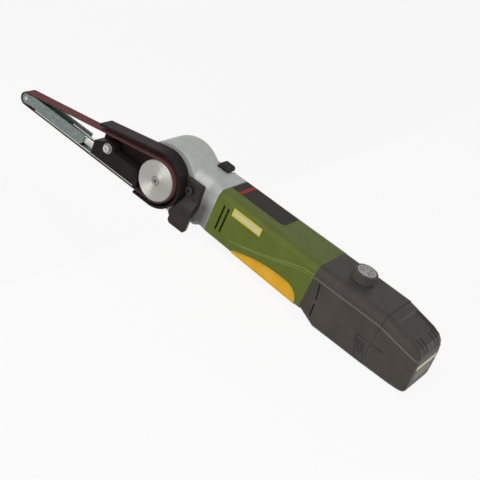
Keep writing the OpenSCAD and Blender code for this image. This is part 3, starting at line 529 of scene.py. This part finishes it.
# Seal on the battery's front, which closes the seam to the casing
SEAL_INSET, SEAL_CORNER, SEAL_GAP, SEAL_THICK = 1.2, 5, 0.04, 0.1
low, high = box_of("rear_casing")
seal_wide = high.y - low.y - 2 * SEAL_INSET * MM
seal_tall = high.z - low.z - 2 * SEAL_INSET * MM
seal = bmesh.new()
bmesh.ops.create_grid(seal, x_segments=1, y_segments=1, size=0.5,
                      matrix=Matrix.Rotation(math.pi / 2, 4, "Y"))
for vert in seal.verts:
    vert.co = (high.x + SEAL_GAP * MM, vert.co.y * seal_wide,
               (low.z + high.z) / 2 + vert.co.z * seal_tall)
round_off(seal, seal.verts[:], SEAL_CORNER, 6, affect="VERTICES")
bmesh.ops.recalc_face_normals(seal, faces=seal.faces)
cover = bmesh.ops.extrude_face_region(seal, geom=seal.faces[:])["geom"]
bmesh.ops.translate(seal, vec=(SEAL_THICK * MM, 0, 0), verts=verts_in(cover))
bmesh.ops.recalc_face_normals(seal, faces=seal.faces)
piece("seam_seal", seal, [black_nylon], "battery", "black_plastic")

# Battery latches: a row of finger ribs along the leading edge
RIB_START, RIB_PITCH, RIB_GAP, RIB_LEAN = 181.4, 1.5, 0.7, 0.34
for name in ("latch_near", "latch_far"):
    skin = cad_copy(name)
    for i in range(4):
        start = RIB_START + RIB_PITCH * i
        cut_groove(skin, (start, start + RIB_GAP), (-16, -7), 0.45, RIB_LEAN)
    piece(name + "_ribbed", ease(skin, 0.25), [charcoal_abs], name, slot_of[name], name)

# Label on the battery's end: black film with a plain cream heading bar and ruled lines; heights
# are from the film's middle
FILM_LONG, FILM_TALL, FILM_THICK = 30.4, 14.6, 0.08
BAR = (3.0, 7.0)
RULES = [1.5 - 1.8 * i for i in range(5)]
RULE_HALF, RULE_END = 0.2, 12.6
END_TILT = math.atan2(16, 1.2)
film = bmesh.new()
bmesh.ops.create_grid(film, x_segments=1, y_segments=1, size=0.5)
bmesh.ops.transform(film, matrix=Matrix.Diagonal((FILM_LONG * MM, FILM_TALL * MM, 1, 1)),
                    verts=film.verts)
for height in [*BAR, *(rule + half for rule in RULES for half in (-RULE_HALF, RULE_HALF))]:
    slice_at(film, (0, height * MM, 0), (0, 1, 0))
for side in (-RULE_END, RULE_END):
    slice_at(film, (side * MM, 0, 0), (1, 0, 0))
for face in film.faces:
    spot = face.calc_center_median() / MM
    ruled = any(abs(spot.y - rule) < RULE_HALF for rule in RULES) and abs(spot.x) < RULE_END
    face.material_index = 1 if ruled or BAR[0] < spot.y < BAR[1] else 0
seat = (Matrix.Translation(at(224.42, 0, -7.3)) @ Matrix.Rotation(END_TILT, 4, "Y")
        @ Matrix.Rotation(math.pi / 2, 4, "Z"))
bmesh.ops.transform(film, matrix=seat, verts=film.verts)
bmesh.ops.solidify(film, geom=film.faces[:], thickness=FILM_THICK * MM)
bmesh.ops.recalc_face_normals(film, faces=film.faces)
piece("bare_end_label", film, [label_film, label_pale], "battery", "label")


# Turned and wound pieces

def spun(points, centre, axis, steps, closed):
    """A form turned round an axis from the points of its half section"""
    form = bmesh.new()
    ring = [form.verts.new(point) for point in points]
    pairs = list(zip(ring, ring[1:])) + ([(ring[-1], ring[0])] if closed else [])
    rim = [form.edges.new(pair) for pair in pairs]
    bmesh.ops.spin(form, geom=ring + rim, cent=centre, axis=axis, angle=math.tau, steps=steps,
                   use_merge=True)
    bmesh.ops.remove_doubles(form, verts=form.verts, dist=0.001 * MM)
    bmesh.ops.recalc_face_normals(form, faces=form.faces)
    return form


def map_rings(form, centre, reach):
    """A map whose u runs out from the axis and whose v runs round it, for the lathe's rings"""
    rings = form.loops.layers.uv.new("rings")
    for face in form.faces:
        middle = face.calc_center_median() - centre
        for corner in face.loops:
            arm = corner.vert.co - centre
            turn = math.atan2(arm.z, arm.x) - math.atan2(middle.z, middle.x)
            corner[rings].uv = (math.hypot(arm.x, arm.z) / (reach * MM),
                                (turn + math.pi) % math.tau / math.tau)


def coil_spring(node, wire, turns):
    """A wound spring in the node's room, along z, that is squeezed between the bodies at its
    ends; the wire's radius is in millimetres"""
    low, high = box_of(node)
    wire = wire * MM
    foot = Vector(((low.x + high.x) / 2, (low.y + high.y) / 2, low.z + wire))
    coil_radius = (high.x - low.x) / 2 - wire
    steps = 24 * turns
    coil = bmesh.new()
    start = (Matrix.Translation(foot + Vector((coil_radius, 0, 0)))
             @ Matrix.Rotation(math.pi / 2, 4, "X"))
    bmesh.ops.create_circle(coil, segments=8, radius=wire, matrix=start)
    bmesh.ops.spin(coil, geom=coil.verts[:] + coil.edges[:], cent=foot, axis=(0, 0, 1),
                   angle=math.tau * turns, steps=steps,
                   dvec=(0, 0, (high.z - low.z - 2 * wire) / steps))
    bmesh.ops.holes_fill(coil, edges=[e for e in coil.edges if e.is_boundary])
    bmesh.ops.recalc_face_normals(coil, faces=coil.faces)
    made = piece(node + "_coil", coil, [bright_steel], None, slot_of[node], node)
    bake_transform(made)


# Drive roller: a disc with a chamfered rim and shallow tool rings, as (radius, y)
roller_section = [
    (3.3, -28.7), (3.6, -29), (6.4, -29), (6.55, -28.88), (6.7, -29), (10.4, -29), (10.55, -28.9),
    (10.7, -29), (14.7, -29), (15.4, -28.4), (15.4, -19.4), (14.8, -19), (12.8, -19),
    (12.8, -25.4), (3.3, -25.4)]
roller = spun([at(r, y, 0) for r, y in roller_section], at(0, 0, 0), (0, 1, 0), 96, True)
map_rings(roller, at(0, 0, 0), 20)
piece("turned_roller", roller, [turned_alloy], "spindle", "turned_alloy", "drive_roller")

coil_spring("lock_spring", 0.25, 4)
coil_spring("paddle_spring", 0.3, 5)

# Sanding belt: grit outside, bare cloth inside and on the cut edges
inside_loop = at(-66, -24, -2)
belt = cad_copy("sanding_belt")
for face in belt.faces:
    outward = face.normal.dot(face.calc_center_median() - inside_loop) > 0
    face.material_index = 0 if outward and abs(face.normal.y) < 0.5 else 1
piece("belt_loop", ease(belt, 0.12), [abrasive, cloth_back], "arm", "abrasive", "sanding_belt")

# Speed dial: a dished pale face with ticks and numbers, as (radius, height from the rim)
KNOB_X, DIAL_TOP = 159.4, 26.6
dial_section = [(0, -0.25), (5.6, -0.25), (6.1, 0), (6.5, 0), (6.8, -0.3), (6.8, -1.2), (0, -1.2)]
dial = spun([at(KNOB_X + r, 0, DIAL_TOP + z) for r, z in dial_section], at(KNOB_X, 0, 0),
            (0, 0, 1), 64, False)
piece("dial_face", dial, [dial_print], "dial", "dial_face", "knob_cap")

# The scale starts at 225 degrees and runs clockwise over 270: ten ticks on from the first, and
# a number at every second one
SCALE_START, TICK_TURN, TICKS = 225, 27, 11
TICK_SIZE = Vector((1.4, 0.6, 0.12)) * MM
TICK_REACH, DIGIT_REACH, DIGIT_SIZE = 4.9, 2.7, 3.0


def on_dial(degrees, height):
    """A place in the dial's middle, turned to an angle"""
    return (Matrix.Translation(at(KNOB_X, 0, DIAL_TOP + height))
            @ Matrix.Rotation(math.radians(degrees), 4, "Z"))


marks = bmesh.new()
for i in range(TICKS):
    bmesh.ops.create_cube(marks, size=1, matrix=on_dial(SCALE_START - TICK_TURN * i, -0.23)
                          @ Matrix.Translation((TICK_REACH * MM, 0, 0))
                          @ Matrix.Diagonal((*TICK_SIZE, 1)))
for i in range(6):
    digit = bpy.data.curves.new("digit", "FONT")
    digit.body = str(i)
    digit.size = DIGIT_SIZE * MM
    digit.extrude = 0.05 * MM
    digit.align_x = digit.align_y = "CENTER"
    shape = mesh_as_shown(in_scene("digit", digit))
    shape.transform(on_dial(SCALE_START - 2 * TICK_TURN * i - 90, -0.22)
                    @ Matrix.Translation((0, DIGIT_REACH * MM, 0)))
    marks.from_mesh(shape)
    bpy.data.meshes.remove(shape)
piece("dial_marks", marks, [dial_ink], "dial", "dial_face")

# Name plate: a raised yellow frame round a bare pale field
plate = cad_copy("name_plate")
front = [f for f in plate.faces if f.normal.y < -0.7]
bmesh.ops.inset_region(plate, faces=front, thickness=1.25 * MM, depth=-0.15 * MM,
                       use_even_offset=True)
for face in front:
    face.material_index = 1
piece("bare_name_plate", plate, [plate_frame, plate_field], "tool", "plate", "name_plate")

# Top label: black film with one plain red stripe, and its rear near corner rounded
STRIPE = (52.5, 55.4)
label_corner = at(94, -5, 0)
label = cad_copy("rating_label")
for x in STRIPE:
    slice_at(label, at(x, 0, 0), (1, 0, 0))
corner_edges = [e for e in label.edges
                if all((v.co - label_corner).xy.length < 0.4 * MM for v in e.verts)]
round_off(label, corner_edges, 4, 8)
for face in label.faces:
    if STRIPE[0] < from_axis(face.calc_center_median()).x < STRIPE[1]:
        face.material_index = 1
piece("bare_label", label, [label_film, label_red], "tool", "label", "rating_label")


# Floor, light and camera

WHITE = (1, 1, 1, 1)


def white_for_the_eye(tree):
    """1 for rays that show the background, 0 for rays that light the object"""
    path = add(tree, "LightPath")
    seen = path.outputs["Is Camera Ray"]
    for kind in ("Is Glossy Ray", "Is Transmission Ray"):
        either = add(tree, "Math", {"operation": "MAXIMUM"}, links={0: seen, 1: path.outputs[kind]})
        seen = either.outputs[0]
    return seen


# The handle lies on the floor, which steps down under the head so that the arm has room to swing
STEP_X, STEP_DROP, FLOOR_TOP, FLOOR_REACH = -148 * MM, 125 * MM, -0.2 * MM, 4
# How much of the floor's look is plain white, where it is seen
FLOOR_GLOW = 0.9
floor_section = [(-FLOOR_REACH, -STEP_DROP), (STEP_X, -STEP_DROP), (STEP_X, FLOOR_TOP),
                 (FLOOR_REACH, FLOOR_TOP)]
floor_form = bmesh.new()
row = [floor_form.verts.new((x, -FLOOR_REACH, z)) for x, z in floor_section]
runs = [floor_form.edges.new(pair) for pair in zip(row, row[1:])]
drawn = bmesh.ops.extrude_edge_only(floor_form, edges=runs)["geom"]
bmesh.ops.translate(floor_form, vec=(0, 2 * FLOOR_REACH, 0), verts=verts_in(drawn))
bmesh.ops.recalc_face_normals(floor_form, faces=floor_form.faces)
floor_mesh = bpy.data.meshes.new("floor")
floor_form.to_mesh(floor_mesh)
floor_form.free()
floor = in_scene("floor", floor_mesh)
floor_paint = bpy.data.materials.new("pale_paper_floor")
floor_paint.use_nodes = True
tree = floor_paint.node_tree
paper = tree.nodes["Principled BSDF"]
paper.inputs["Base Color"].default_value = colour("#f4f4f2")
paper.inputs["Roughness"].default_value = 0.9
glow = add(tree, "Emission", values={"Color": WHITE, "Strength": 1.0})
part_seen = add(tree, "Math", {"operation": "MULTIPLY"}, {1: FLOOR_GLOW},
                {0: white_for_the_eye(tree)})
sheet = add(tree, "MixShader",
            links={0: part_seen.outputs[0], 1: paper.outputs[0], 2: glow.outputs[0]})
tree.links.new(sheet.outputs[0], tree.nodes["Material Output"].inputs["Surface"])
floor_mesh.materials.append(floor_paint)

# A white background that lights the object with a fifth of its strength
world = bpy.data.worlds.new("studio")
bpy.context.scene.world = world
world.use_nodes = True
sky = world.node_tree
backdrop = sky.nodes["Background"]
backdrop.inputs["Color"].default_value = WHITE
level = add(sky, "MapRange", values={"To Min": 0.2, "To Max": 1.0},
            links={"Value": white_for_the_eye(sky)})
sky.links.new(level.outputs[0], backdrop.inputs["Strength"])

# Oblong lamps that face their aims: place and aim, length and width in metres, and watts
for name, place, aim, length, width, power in (
        ("front_box", (-0.2, -1.1, 0.4), (-0.1, 0, 0.03), 0.7, 0.7, 4.3),
        ("strip_box", (-0.2, -0.5, 0.85), (-0.1, 0, 0.03), 1.2, 0.16, 2.9),
        ("rear_box", (0.9, -0.35, 0.4), (0, 0, 0.03), 0.5, 0.5, 1.6),
        ("back_box", (0.6, 0.95, 0.3), (-0.1, 0, 0.03), 0.6, 0.6, 1.8)):
    lamp = bpy.data.lights.new(name, "AREA")
    lamp.shape = "RECTANGLE"
    lamp.size = length
    lamp.size_y = width
    lamp.energy = power
    soft_box = in_scene(name, lamp)
    soft_box.location = place
    facing = (Vector(aim) - Vector(place)).to_track_quat("-Z", "Y")
    soft_box.rotation_euler = facing.to_euler()

# The photograph's camera, fitted to it: millimetres and degrees
camera = bpy.data.cameras.new("photo_view")
camera.lens = 77.238
camera.sensor_width = 36
eye = in_scene("photo_view", camera)
eye.location = Vector((156.34, -583.16, 375.68)) * MM
eye.rotation_euler = Euler([math.radians(a) for a in (57.7495, -21.2195, 36.9095)], "XYZ")
bpy.context.scene.camera = eye
bpy.context.scene.view_settings.view_transform = "Standard"
